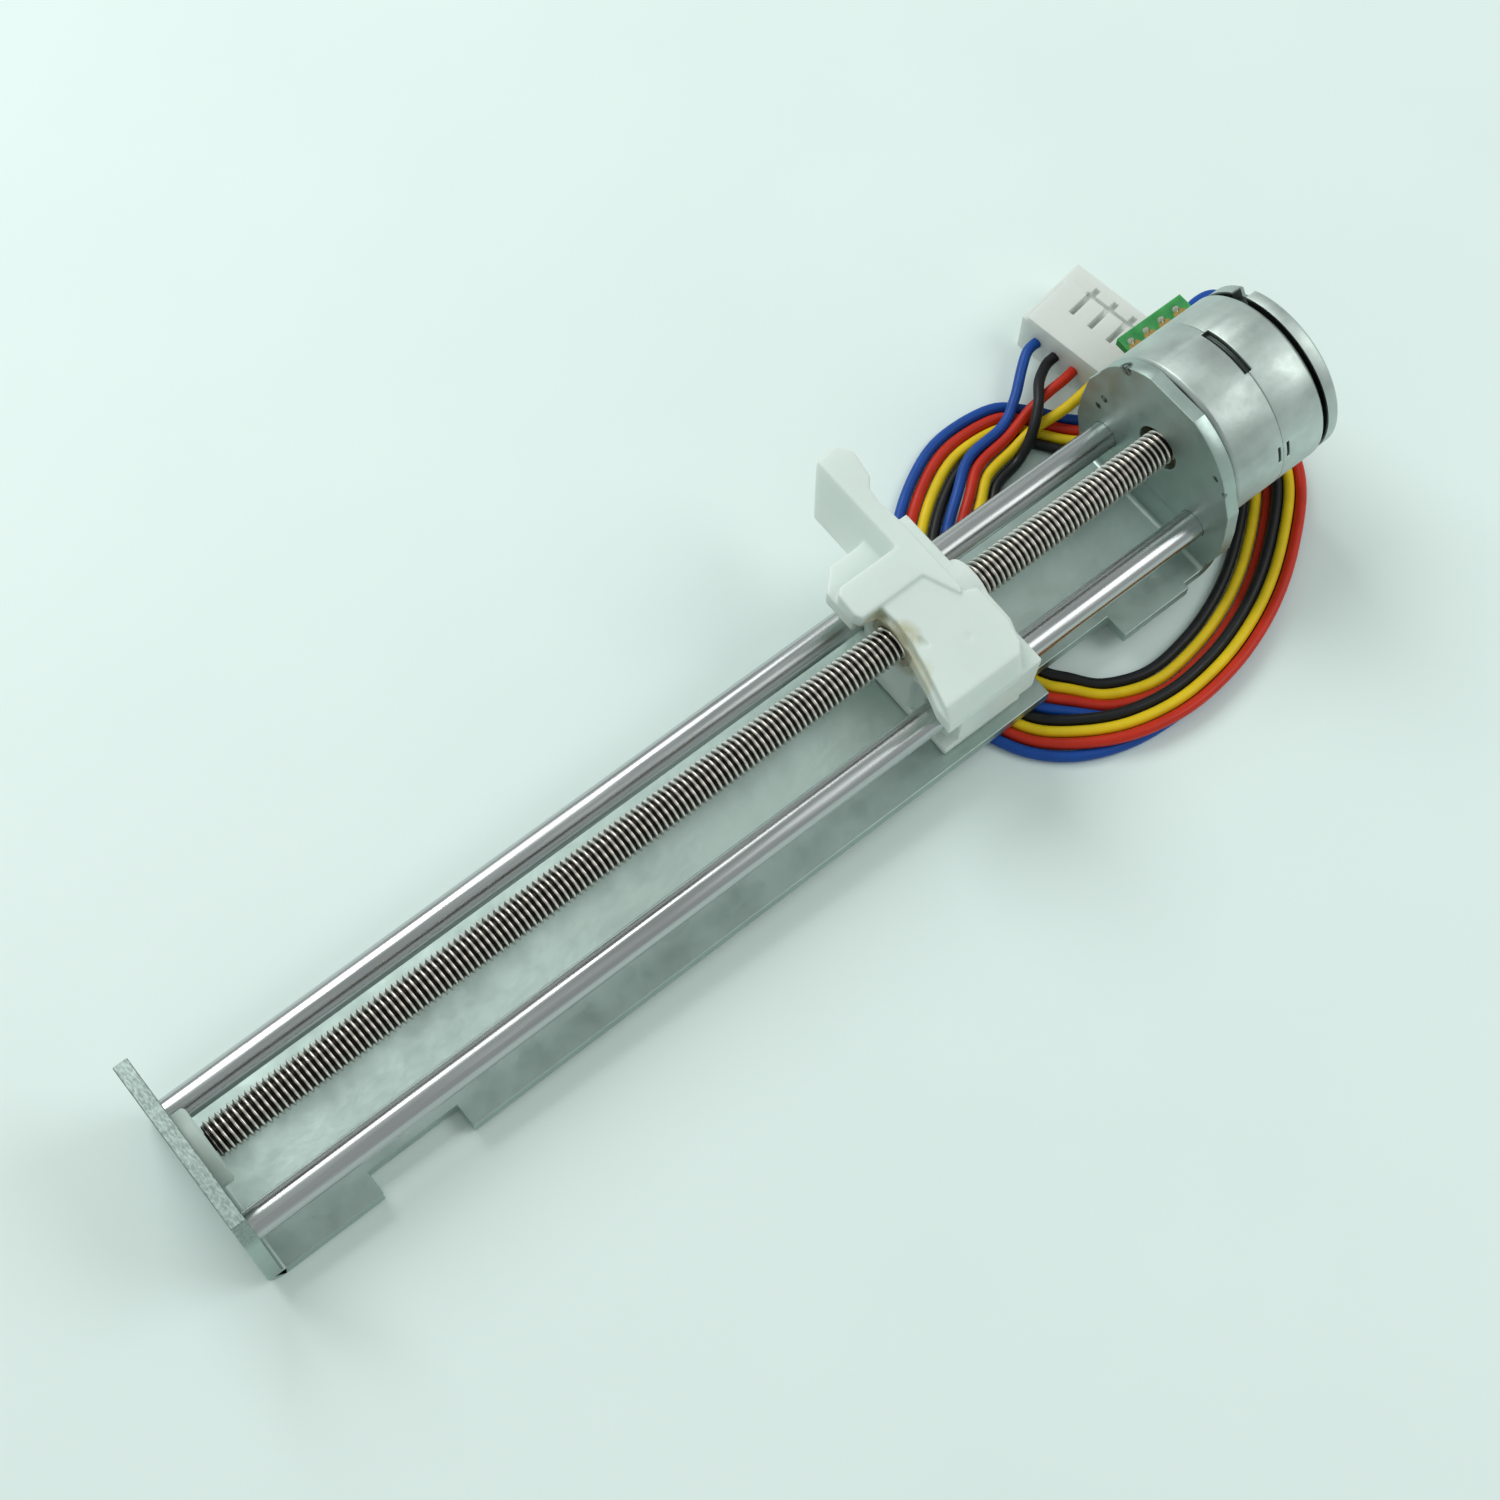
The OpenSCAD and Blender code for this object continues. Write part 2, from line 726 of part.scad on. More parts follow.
// A smooth curve through the points, read at u counted in points.
function smooth(p, u) =
  let (
    n = len(p) - 1,
    i = min(floor(u), n - 1),
    t = u - i,
    a = p[max(i - 1, 0)],
    b = p[i],
    c = p[i + 1],
    d = p[min(i + 2, n)]
  )
  0.5 * (2 * b + (c - a) * t + (2 * a - 5 * b + 4 * c - d) * t * t
         + (3 * b - a - 3 * c + d) * t * t * t);
rings = 84;
sides = 8;
function spine(p) = [for (k = [0:rings - 1]) smooth(p, k * (len(p) - 1) / (rings - 1))];
// Each wire starts straight down from the board and ends square to the connector.
function heading(s, k) =
  k == 0 ? [0, 0, -1]
  : k == len(s) - 1 ? [cos(conn_turn), sin(conn_turn), 0]
  : unit(s[k + 1] - s[k - 1]);
// A sideways direction at each ring that turns no more than the spine does.
function carried(s) = [
  for (k = 0, v = unit(cross(heading(s, 0), [0.1, 1, 0.2]));
       k < len(s);
       k = k + 1,
       v = k < len(s) ? unit(v - heading(s, k) * (v * heading(s, k))) : v)
    v
];

// A tube of wire diameter along the route of wire w.
module wire(w) {
  s = spine(route(w));
  v = carried(s);
  points = [
    for (k = [0:rings - 1])
      let (t = heading(s, k), e = cross(t, v[k]))
        for (j = [0:sides - 1])
          s[k] + wire_r * (v[k] * cos(360 * j / sides) + e * sin(360 * j / sides))
  ];
  walls = [
    for (k = [0:rings - 2])
      for (j = [0:sides - 1])
        let (a = k * sides + j, b = k * sides + (j + 1) % sides)
          [a, a + sides, b + sides, b]
  ];
  start = [for (j = [0:sides - 1]) j];
  end = [for (j = [0:sides - 1]) (rings - 1) * sides + sides - 1 - j];
  polyhedron(points = points, faces = concat(walls, [start, end]), convexity = 10);
}

module wire_blue() {
  color([0.1, 0.25, 0.75])
    wire(0);
}

module wire_red() {
  color([0.8, 0.12, 0.08])
    wire(1);
}

module wire_yellow() {
  color([0.9, 0.78, 0.1])
    wire(2);
}

module wire_black() {
  color([0.05, 0.05, 0.05])
    wire(3);
}

// ---- Connector ----

module connector_housing() {
  color([0.95, 0.95, 0.93])
    translate([conn_x, conn_y, conn_z])
      rotate([0, 0, conn_turn])
        difference() {
          union() {
            block([-conn_len / 2, -conn_w / 2, 0], [conn_len / 2, conn_w / 2, conn_h - 0.5]);
            block([-conn_len / 2, -conn_w / 2 + 0.5, 0], [conn_len / 2 - 2, conn_w / 2 - 0.5, conn_h]);
          }
          for (k = [0:3])
            block([-conn_len / 2 + 1, way_y(k) - 0.55, conn_h / 2 - 0.75],
                  [conn_len / 2 + 1, way_y(k) + 0.55, conn_h / 2 + 0.75]);
          block([conn_len / 2 - 2.1, -conn_pitch - 0.5, conn_h - 1],
                [conn_len / 2 - 1.5, conn_pitch + 0.5, conn_h + 1]);
          for (k = [0:2])
            block([-conn_len / 2 + 2.8, way_y(k) - conn_pitch / 2 - 0.25, conn_h - 1],
                  [conn_len / 2 - 0.8, way_y(k) - conn_pitch / 2 + 0.25, conn_h + 1]);
        }
}

// The four crimp contacts as a group of separate solids.
module connector_contacts() {
  color([0.8, 0.75, 0.6])
    translate([conn_x, conn_y, conn_z])
      rotate([0, 0, conn_turn])
        for (k = [0:3])
          difference() {
            block([-conn_len / 2 + 1, way_y(k) - 0.5, conn_h / 2 - 0.7],
                  [conn_len / 2 - 1.2, way_y(k) + 0.5, conn_h / 2 + 0.7]);
            block([-conn_len / 2 + 2, way_y(k) - 0.3, conn_h / 2 - 0.5],
                  [conn_len / 2, way_y(k) + 0.3, conn_h / 2 + 0.5]);
          }
}

bracket();
guide_rod_left();
guide_rod_right();
end_bush();
lead_screw();
slider_body();
drive_nut();
front_can();
rear_can();
front_pole_plate();
rear_pole_plate();
front_bobbin();
rear_bobbin();
front_coil();
rear_coil();
front_bearing();
rear_bearing();
rotor_hub();
rotor_magnet();
thrust_ball();
rear_cover();
terminal_block();
terminal_pins();
terminal_board();
solder_joints();
wire_blue();
wire_red();
wire_yellow();
wire_black();
connector_housing();
connector_contacts();
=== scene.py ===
"""Looks of a small motor-driven linear stage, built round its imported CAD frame.

Blender's calls take metres. Constants and routes are in millimetres unless they say metres.
"""
import math

import bmesh
import bpy
from mathutils import Euler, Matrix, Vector


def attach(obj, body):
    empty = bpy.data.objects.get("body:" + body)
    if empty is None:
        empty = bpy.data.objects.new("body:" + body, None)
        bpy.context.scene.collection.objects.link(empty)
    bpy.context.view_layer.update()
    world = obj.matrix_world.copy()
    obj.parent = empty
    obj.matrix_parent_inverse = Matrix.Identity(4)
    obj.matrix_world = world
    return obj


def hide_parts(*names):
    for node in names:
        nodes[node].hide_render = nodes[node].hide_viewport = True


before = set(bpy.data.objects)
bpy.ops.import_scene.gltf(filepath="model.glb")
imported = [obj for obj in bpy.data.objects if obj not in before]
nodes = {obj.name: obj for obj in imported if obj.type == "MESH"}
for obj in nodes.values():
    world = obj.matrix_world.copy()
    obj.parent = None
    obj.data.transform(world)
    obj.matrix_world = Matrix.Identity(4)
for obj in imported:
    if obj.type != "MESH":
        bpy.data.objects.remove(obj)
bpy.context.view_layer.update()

MM = 0.001
AXIS_Z = 10.2 * MM    # height of the screw's and the motor's axis, in metres
HALF_LEN = 46.1       # from the origin to the outside of either end plate
SHEET = 1.2           # thickness of the bracket's sheet


def metres(x, y, z):
    """A point given in millimetres."""
    return x * MM, y * MM, z * MM


# ---------------------------------------------------------------- camera

CAMERA_LENS = 62.62
CAMERA_PLACE = (-45.88, -59.14, 186.7)
CAMERA_TURN = (23.62, -0.62, -38.82)    # degrees


def add_camera():
    """The one camera, with clip distances for a small scene."""
    cam = bpy.data.cameras.new("camera")
    cam.sensor_width = 36
    cam.lens = CAMERA_LENS
    cam.clip_start = 0.01
    cam.clip_end = 5
    obj = bpy.data.objects.new("camera", cam)
    obj.location = metres(*CAMERA_PLACE)
    obj.rotation_euler = Euler([math.radians(a) for a in CAMERA_TURN])
    bpy.context.collection.objects.link(obj)
    bpy.context.scene.camera = obj


add_camera()


# ---------------------------------------------------------------- wires

WIRES = ("wire_blue", "wire_red", "wire_yellow", "wire_black")
WIRE_D = 0.92
LANE = 1.02             # from one wire's centre to the next, side by side
TABLE_SLOPE = 0.0162    # fall of the table for each unit of x

# The connector: centre of its underside, turn, length, height and pitch. WAY is the way that
# each wire goes into, and STRAIGHT its straight run before the mouth.
CONN = (52.7, 14.5, -1.6)
CONN_TURN = math.radians(8)
CONN_LEN = 7.2
CONN_H = 4.8
CONN_PITCH = 2
WAY = (0, 2, 3, 1)
STRAIGHT = 1.2

# Each wire's first stretch, from its solder joint down and round the back of the motor.
LEAD_IN = [
    [(55, 8.5, 8.9), (55.05, 8.5, 7.9), (55.55, 8.6, 6.95), (56.7, 9, 6.35), (58.7, 9.5, 6.3),
     (60.6, 9.1, 6), (62.1, 7.1, 4.9), (62.4, 4.4, 2.6), (61.2, 1.8, 0)],
    [(53.4, 8.5, 8.9), (53.42, 8.5, 7.6), (53.85, 8.55, 6.4), (54.95, 8.7, 5.6),
     (56.8, 8.9, 5.3), (58.8, 8.6, 5), (60.6, 6.9, 4.1), (61, 4.3, 2.5), (60.4, 1.9, 1)],
    [(51.8, 8.5, 8.9), (51.8, 8.5, 7.2), (52.2, 8.5, 5.9), (53.2, 8.6, 4.95), (55, 8.7, 4.4),
     (57.4, 8.3, 4), (59.2, 6.7, 3.1), (59.8, 4.2, 1.6), (59.2, 1.9, 0.5)],
    [(50.2, 8.5, 8.9), (50.2, 8.5, 6.8), (50.5, 8.5, 5.2), (51.5, 8.5, 4), (53.3, 8.5, 3.3),
     (55.7, 8.1, 2.9), (57.6, 6.4, 2.1), (58.3, 4.1, 0.8), (58.1, 1.9, 0)],
]

# Outermost lane of one turn: x, y, then the shares of the right-hand spread,
# right-hand stack, left-hand spread and left-hand stack.
LOOP = [
    (59.8, -0.6, 1, 1, 0, 0), (59, -3.9, 1, 1, 0, 0), (57, -6.9, 1, 1, 0, 0),
    (53.6, -9.8, 1, 1, 0, 0), (49.8, -12.3, 1, 1, 0, 0), (45.6, -14.2, 1, 1, 0, 0),
    (41, -15.4, 1, 1, 0, 0), (36, -15.7, 1, 1, 0, 0), (31, -15, 0.6, 1, 0, 0),
    (26.8, -13, 0.1, 0.5, 0, 0), (23.8, -10, 0, 0, 0, 0), (22.2, -6, 0, 0, 0, 0),
    (22, -1.6, 0, 0, 0, 0), (22.9, 2.8, 0, 0, 0, 0), (25, 7, 0, 0, 0, 0),
    (28.4, 11, 0, 0, 0, 0.2), (32.6, 14, 0, 0, 0.05, 1), (37, 15.6, 0, 0, 0.5, 1),
    (42.2, 15.2, 0, 0, 1, 1),
]
# Each wire's distance inward of that lane, on the right for both turns and on the left for
# the second, and its lift where the bundle is stacked, on the right for the first turn and on
# the left for the second.
RIGHT = ((0.5, 0.2, 1.2, 2.2), (1.72, 2.74, 3.76, 4.78))
LEFT_B = (2.4, 3.5, 4.59, 5.66)
STACK_A = (0, 0.96, 0.96, 0.96)
STACK_B = (0.96, 0.96, 0.65, 0.34)

# Outermost lane of the way back under the motor, from the first turn to the second.
UNDER_MOTOR = [(44.8, 13), (47, 10.6), (50, 8.5), (53.6, 7.3), (56.8, 5.5), (59, 2.6)]

# Each wire's last stretch, from the second turn to the connector.
LEAD_OUT = [
    [(43.9, 14.2, 0.3), (46, 15.8, 0.65)],
    [(44.1, 12.6, 0.25), (46.3, 12.8, 0.6)],
    [(43.3, 11.1, 0.1), (46.3, 10.8, 0.5)],
    [(41.9, 10.25, 0.35), (43.1, 10.95, 1.15), (44.6, 12.2, 1.6), (46, 13.7, 1.4)],
]


def lie(x):
    """Height of the centre of a wire that lies on the table at x."""
    return WIRE_D / 2 - TABLE_SLOPE * (x + HALF_LEN)


def inward(a, b):
    """Sideways direction, towards the inside of the loop, of a step from a to b."""
    dx, dy = b[0] - a[0], b[1] - a[1]
    length = math.hypot(dx, dy)
    return dy / length, -dx / length


def loop_point(i, w, turn):
    """Point i of wire w on the loop's first turn (0) or second (1)."""
    p = LOOP[i]
    before = LOOP[i - 1] if i > 0 else UNDER_MOTOR[-1]
    after = LOOP[i + 1] if i < len(LOOP) - 1 else UNDER_MOTOR[0]
    flat = (w + 4 * turn) * LANE
    left = LEFT_B[w] if turn else flat
    side = flat + (RIGHT[turn][w] - flat) * p[2] + (left - flat) * p[4]
    up = STACK_B[w] * p[5] if turn else STACK_A[w] * p[3]
    nx, ny = inward(before, after)
    x, y = p[0] + nx * side, p[1] + ny * side
    return x, y, lie(x) + up


def under_point(i, w):
    """Point i of wire w on the way back under the motor."""
    last = len(UNDER_MOTOR) - 1
    before = UNDER_MOTOR[i - 1] if i > 0 else LOOP[-1]
    after = UNDER_MOTOR[i + 1] if i < last else LOOP[0]
    side = w * LANE + (RIGHT[1][w] - w * LANE) * i / (last + 1)
    nx, ny = inward(before, after)
    x, y = UNDER_MOTOR[i][0] + nx * side, UNDER_MOTOR[i][1] + ny * side
    return x, y, lie(x)


def conn_at(x, y, z):
    """The point x along and y across the connector from its centre, at height z."""
    c, s = math.cos(CONN_TURN), math.sin(CONN_TURN)
    return CONN[0] + x * c - y * s, CONN[1] + x * s + y * c, z


def route(w):
    """The points that wire w passes, from its solder joint to the connector's mouth."""
    entry_z = CONN[2] + CONN_H / 2
    y = (1.5 - WAY[w]) * CONN_PITCH
    return (
        LEAD_IN[w]
        + [loop_point(i, w, 0) for i in range(len(LOOP))]
        + [under_point(i, w) for i in range(len(UNDER_MOTOR))]
        + [loop_point(i, w, 1) for i in range(len(LOOP))]
        + LEAD_OUT[w]
        + [conn_at(-CONN_LEN / 2 - STRAIGHT, y, entry_z), conn_at(-CONN_LEN / 2, y, entry_z)]
    )


def smooth(points, steps=7):
    """Points along a Catmull-Rom curve through the route, in metres."""
    p = [Vector(q) * MM for q in points]
    line = []
    for i in range(len(p) - 1):
        a, b, c, d = p[max(i - 1, 0)], p[i], p[i + 1], p[min(i + 2, len(p) - 1)]
        for k in range(steps):
            t = k / steps
            line.append(0.5 * (2 * b + (c - a) * t + (2 * a - 5 * b + 4 * c - d) * t * t
                               + (3 * b - a - 3 * c + d) * t ** 3))
    line.append(p[-1])
    return line


def tube(name, line, radius):
    """A round tube on the frame, along a line. Line and radius are in metres.

    The bevel is 1 and each point holds the radius, so that the curve's bounds are right.
    """
    curve = bpy.data.curves.new(name, "CURVE")
    curve.dimensions = "3D"
    curve.bevel_depth = 1
    curve.bevel_resolution = 5
    curve.use_fill_caps = True
    spline = curve.splines.new("POLY")
    spline.points.add(len(line) - 1)
    for point, co in zip(spline.points, line):
        point.co = (*co, 1)
        point.radius = radius
    obj = bpy.data.objects.new(name, curve)
    bpy.context.collection.objects.link(obj)
    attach(obj, "frame")
    return obj


def add_wires():
    """The four wires as cords. The connector and its contacts ride on their ends."""
    objs = []
    for w, name in enumerate(WIRES):
        line = smooth(route(w))
        obj = tube(name + "_insulation", line, WIRE_D / 2 * MM)
        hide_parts(name)
        objs.append(obj)
    return objs


wires = add_wires()


# ---------------------------------------------------------------- materials

# Lengths and places are in metres here, and a noise's scale is for each metre.

# Painted shade for the metal of the cans near the axis: its colour, how far it fades in, and
# where it ends.
RECESS_PAINTED_SHADE = (0.06, 0.075, 0.07)
RECESS_FADE = 0.16 * MM
RECESS_END = 56.9 * MM    # beyond this x, metal near the axis is the motor's rear face
# Painted shade: the near-black of dents.
DENT_SHADE_COLOR = (0.035, 0.04, 0.042)
# How dark the scuffed patches get: scuffing, and painted shade.
SCUFF_AND_SHADE_DARKNESS = 0.45
# The thread's colour runs from painted shade deep in the grooves to the steel at the crests.
THREAD_ROOT, THREAD_CREST = 1.27 * MM, 1.46 * MM    # radii that the colour passes between


class Nodes:
    """A short way to build a node tree."""

    def __init__(self, name, color, rough, metallic=0.0):
        self.mat = bpy.data.materials.new(name)
        self.mat.use_nodes = True
        self.tree = self.mat.node_tree
        self.bsdf = self.tree.nodes["Principled BSDF"]
        self.bsdf.inputs["Base Color"].default_value = (*color, 1)
        self.bsdf.inputs["Roughness"].default_value = rough
        self.bsdf.inputs["Metallic"].default_value = metallic
        self.coord = self.add("ShaderNodeTexCoord").outputs["Object"]

    def add(self, kind, **values):
        node = self.tree.nodes.new(kind)
        for key, value in values.items():
            setattr(node, key, value)
        return node

    def link(self, a, b):
        self.tree.links.new(a, b)

    def set(self, **values):
        for key, value in values.items():
            self.bsdf.inputs[key.replace("_", " ")].default_value = value

    def stretched(self, scale):
        """The coordinates, scaled by axis."""
        node = self.add("ShaderNodeMapping")
        node.inputs["Scale"].default_value = scale
        self.link(self.coord, node.inputs["Vector"])
        return node.outputs["Vector"]

    def noise(self, scale, detail=4, stretch=(1, 1, 1)):
        node = self.add("ShaderNodeTexNoise")
        node.inputs["Scale"].default_value = scale
        node.inputs["Detail"].default_value = detail
        node.inputs["Roughness"].default_value = 0.55
        self.link(self.stretched(stretch), node.inputs["Vector"])
        return node.outputs["Fac"]

    def span(self, fac, low, high, from_low=0.3, from_high=0.7):
        """The value, carried over from one span to another."""
        node = self.add("ShaderNodeMapRange")
        node.inputs["From Min"].default_value = from_low
        node.inputs["From Max"].default_value = from_high
        node.inputs["To Min"].default_value = low
        node.inputs["To Max"].default_value = high
        self.link(fac, node.inputs["Value"])
        return node.outputs["Result"]

    def mix(self, fac, a, b):
        """Colour a where fac is 0 and b where it is 1.

        The node's sockets for a factor and two colours are 0, 6 and 7, and 2 gives the colour.
        """
        node = self.add("ShaderNodeMix", data_type="RGBA")
        for value, socket in ((fac, node.inputs[0]), (a, node.inputs[6]), (b, node.inputs[7])):
            if isinstance(value, (int, float)):
                socket.default_value = value
            elif isinstance(value, tuple):
                socket.default_value = (*value, 1)
            else:
                self.link(value, socket)
        return node.outputs[2]

    def math(self, operation, a, b=0.0):
        node = self.add("ShaderNodeMath", operation=operation)
        for value, socket in zip((a, b), node.inputs):
            if isinstance(value, (int, float)):
                socket.default_value = value
            else:
                self.link(value, socket)
        return node.outputs[0]

    def spot(self, centre, radius):
        """1 inside a soft-edged ball of that radius about centre, 0 outside."""
        node = self.add("ShaderNodeVectorMath", operation="DISTANCE")
        node.inputs[1].default_value = centre
        self.link(self.coord, node.inputs[0])
        return self.span(node.outputs["Value"], 1, 0, radius * 0.75, radius)

    def from_axis(self):
        """Distance from the motor's axis."""
        node = self.add("ShaderNodeVectorMath", operation="MULTIPLY_ADD")
        node.inputs[1].default_value = (0, 1, 1)
        node.inputs[2].default_value = (0, 0, -AXIS_Z)
        self.link(self.coord, node.inputs[0])
        length = self.add("ShaderNodeVectorMath", operation="LENGTH")
        self.link(node.outputs["Vector"], length.inputs[0])
        return length.outputs["Value"]

    def before(self, x):
        """1 on the near side of x, 0 beyond it."""
        node = self.add("ShaderNodeSeparateXYZ")
        self.link(self.coord, node.inputs["Vector"])
        return self.math("LESS_THAN", node.outputs["X"], x)

    def color(self, socket):
        self.link(socket, self.bsdf.inputs["Base Color"])

    def rough(self, socket):
        self.link(socket, self.bsdf.inputs["Roughness"])

    def bump(self, height, strength, distance):
        node = self.add("ShaderNodeBump")
        node.inputs["Strength"].default_value = strength
        node.inputs["Distance"].default_value = distance
        self.link(height, node.inputs["Height"])
        self.link(node.outputs["Normal"], self.bsdf.inputs["Normal"])


def shade(color, share):
    """A darker or lighter colour."""
    return tuple(c * share for c in color)


def plated_steel(name, base, rough, dent_shade=(), scuff_and_shade=(), recess=None, blotch=0.2):
    """Zinc-plated sheet with rolled streaks along X and cloudy patches.

    Dents are near-black spots of painted shade, and scuffed patches are darker and grained,
    partly scuffing and partly painted shade, each a (centre, radius). Nearer to the axis than
    recess, the metal is painted dark, a painted shade for the hollows of the cans.
    """
    n = Nodes(name, base, rough, 1)
    cloud = n.noise(160, 5)
    streak = n.noise(900, 3, (0.06, 1, 1))
    light = tuple(min(1, c * (1 + blotch / 2)) for c in base)
    tint = n.mix(n.span(cloud, 0, 1), shade(base, 1 - blotch), light)
    tint = n.mix(n.span(streak, 0, 0.35), tint, base)
    # Painted shade: near the axis and short of the rear face, the cans' metal is darkened as if
    # in its hollows' shadow.
    if recess:
        inside = n.span(n.from_axis(), 1, 0, recess - RECESS_FADE, recess)
        tint = n.mix(n.math("MULTIPLY", inside, n.before(RECESS_END)), tint, RECESS_PAINTED_SHADE)
    # Darker grained patches: scuffing, and painted shade on the near plate's top.
    for centre, radius in scuff_and_shade:
        grain = n.span(n.noise(7000, 4, (1, 0.4, 1)), 0.3, 0.9, 0.36, 0.62)
        fade = n.math("MULTIPLY", n.spot(centre, radius), grain)
        tint = n.mix(fade, tint, shade(base, SCUFF_AND_SHADE_DARKNESS))
    # Near-black spots: painted shade in dents.
    for centre, radius in dent_shade:
        grain = n.span(n.noise(2200, 2), 0.35, 1, 0.4, 0.6)
        tint = n.mix(n.math("MULTIPLY", n.spot(centre, radius), grain), tint, DENT_SHADE_COLOR)
    n.color(tint)
    n.rough(n.span(n.noise(420, 4), rough - 0.09, rough + 0.09))
    n.bump(n.noise(1500, 3), 0.3, 0.00004)
    return n.mat


def polished_steel(name, base, low, high, stretch):
    """Bare steel whose roughness varies from low to high in drawn lines."""
    n = Nodes(name, base, low, 1)
    lines = n.noise(1800, 3, stretch)
    n.rough(n.span(lines, low, high))
    n.color(n.mix(n.span(lines, 0, 1), shade(base, 0.86), base))
    n.bump(lines, 0.3, 0.00003)
    return n.mat


def threaded_steel(name, crest, root_shade):
    """Steel whose colour darkens with depth below the thread's crests, a painted shade down into
    the grooves.
    """
    n = Nodes(name, crest, 0.24, 1)
    # Painted shade: near-black deep in the grooves, the steel's colour at the crests.
    n.color(n.mix(n.span(n.from_axis(), 0, 1, THREAD_ROOT, THREAD_CREST), root_shade, crest))
    n.rough(n.span(n.noise(1500, 3), 0.18, 0.32))
    return n.mat


def board(name, resin, metal, pads):
    """Printed board with bare metal pads, each a (centre, radius)."""
    n = Nodes(name, resin, 0.3)
    n.set(Subsurface_Weight=0.3, Subsurface_Radius=(0.0002, 0.001, 0.0003), Subsurface_Scale=1.0)
    tint = n.mix(n.span(n.noise(700, 3), 0, 0.6), resin, (0.09, 0.42, 0.12))
    for centre, radius in pads:
        tint = n.mix(n.spot(centre, radius), tint, metal)
    n.color(tint)
    n.rough(n.span(n.noise(1200, 3), 0.25, 0.42))
    return n.mat


def moulded(name, base, rough, grease_and_shade=()):
    """Translucent moulded plastic with spots of grease and painted shade, each a (centre, radius,
    colour).
    """
    n = Nodes(name, base, rough)
    n.set(Subsurface_Weight=0.4, Subsurface_Radius=(0.0022, 0.0026, 0.0024), Subsurface_Scale=1.0,
          IOR=1.48, Specular_IOR_Level=0.4)
    cloud = n.noise(240, 4)
    tint = n.mix(n.span(cloud, 0, 0.5), base, shade(base, 0.93))
    # Brownish spots: grease, and painted shade round the nut.
    for centre, radius, color in grease_and_shade:
        fade = n.math("MULTIPLY", n.spot(centre, radius), n.span(n.noise(700, 4), 0.25, 0.95))
        tint = n.mix(fade, tint, color)
    n.color(tint)
    n.rough(n.span(n.noise(900, 3), rough - 0.08, rough + 0.1))
    n.bump(n.noise(1300, 3), 0.08, 0.00005)
    return n.mat


def insulation(name, base):
    """Soft satin plastic of a wire."""
    n = Nodes(name, base, 0.4)
    n.set(IOR=1.45, Specular_IOR_Level=0.35)
    n.color(n.mix(n.span(n.noise(500, 4), 0, 0.4), base, shade(base, 0.6)))
    n.rough(n.span(n.noise(1200, 3), 0.34, 0.5))
    n.bump(n.noise(1600, 2), 0.06, 0.00004)
    return n.mat


def plain(name, base, rough, metallic=0.0):
    """A lightly mottled material for the pieces inside and the small ones."""
    n = Nodes(name, base, rough, metallic)
    n.color(n.mix(n.span(n.noise(900, 4), 0, 1), shade(base, 0.75), base))
    n.rough(n.span(n.noise(1350, 3), max(0.05, rough - 0.1), rough + 0.1))
    n.bump(n.noise(1800, 3), 0.1, 0.00004)
    return n.mat


# Painted shade of dents in the motor plate's face, as near-black spots: y, height above the axis
# and radius.
PLATE_FACE = (HALF_LEN - SHEET) * MM
PLATE_DENT_SHADES = [
    ((PLATE_FACE, y * MM, AXIS_Z + up * MM), radius * MM)
    for y, up, radius in ((4.9, 5.5, 0.75), (6.1, -0.5, 0.4), (6.5, -2, 0.35),
                          (-5.8, 3.2, 0.35), (-7, 2.3, 0.3))
]
# Darker grained patches over the left and the right of the near plate's top: scuffing, and
# painted shade that darkens the top.
SCUFF_AND_SHADE_PATCHES = [((-HALF_LEN * MM, y * MM, AXIS_Z + 4 * MM), 6 * MM) for y in (-5, 5)]
# Grease and painted shade, as brownish spots, on the slider round its nut, and on the nut.
GREASE_AND_SHADE_SPOTS = [
    (metres(17.7, 0, 10), 3.4 * MM, (0.30, 0.25, 0.12)),
    (metres(17.6, 1.8, 11.6), 1.7 * MM, (0.42, 0.40, 0.2)),
    (metres(17.7, -1.2, 11.8), 2.2 * MM, (0.46, 0.43, 0.27)),
    (metres(17.2, -4, 11.8), 1.8 * MM, (0.58, 0.57, 0.42)),
]
NUT_GREASE_AND_SHADE_SPOTS = [(metres(17.9, 0, 10), 2.4 * MM, (0.22, 0.2, 0.1))]
# Pads round the four terminals.
PADS = [(metres(x, 8.0, 9.7), 0.75 * MM) for x in (50.2, 51.8, 53.4, 55.0)]
WIRE_COLORS = ((0.005, 0.07, 0.36), (0.6, 0.026, 0.008), (0.85, 0.6, 0.008), (0.01, 0.01, 0.012))

zinc = plated_steel("zinc_plate", (0.45, 0.55, 0.515), 0.46, PLATE_DENT_SHADES, SCUFF_AND_SHADE_PATCHES, blotch=0.14)
# The cans are given painted shade within 7.28 mm of the axis.
can_zinc = plated_steel("can_plate", (0.56, 0.63, 0.6), 0.5, recess=7.28 * MM, blotch=0.32)
rod_steel = polished_steel("rod_steel", (0.55, 0.57, 0.57), 0.14, 0.36, (0.03, 1, 1))
screw_steel = threaded_steel("screw_steel", (0.78, 0.74, 0.69), (0.035, 0.03, 0.026))
white_plastic = moulded("slider_plastic", (0.69, 0.78, 0.73), 0.42, GREASE_AND_SHADE_SPOTS)
nut_plastic = moulded("nut_plastic", (0.62, 0.58, 0.42), 0.45, NUT_GREASE_AND_SHADE_SPOTS)
bush_plastic = moulded("bush_plastic", (0.42, 0.5, 0.46), 0.45)
conn_plastic = moulded("connector_plastic", (0.7, 0.74, 0.7), 0.4)
black_plastic = plain("black_plastic", (0.02, 0.02, 0.022), 0.5)
bronze = plain("bronze", (0.55, 0.36, 0.18), 0.4, 1)
magnet = plain("magnet", (0.06, 0.06, 0.065), 0.55)
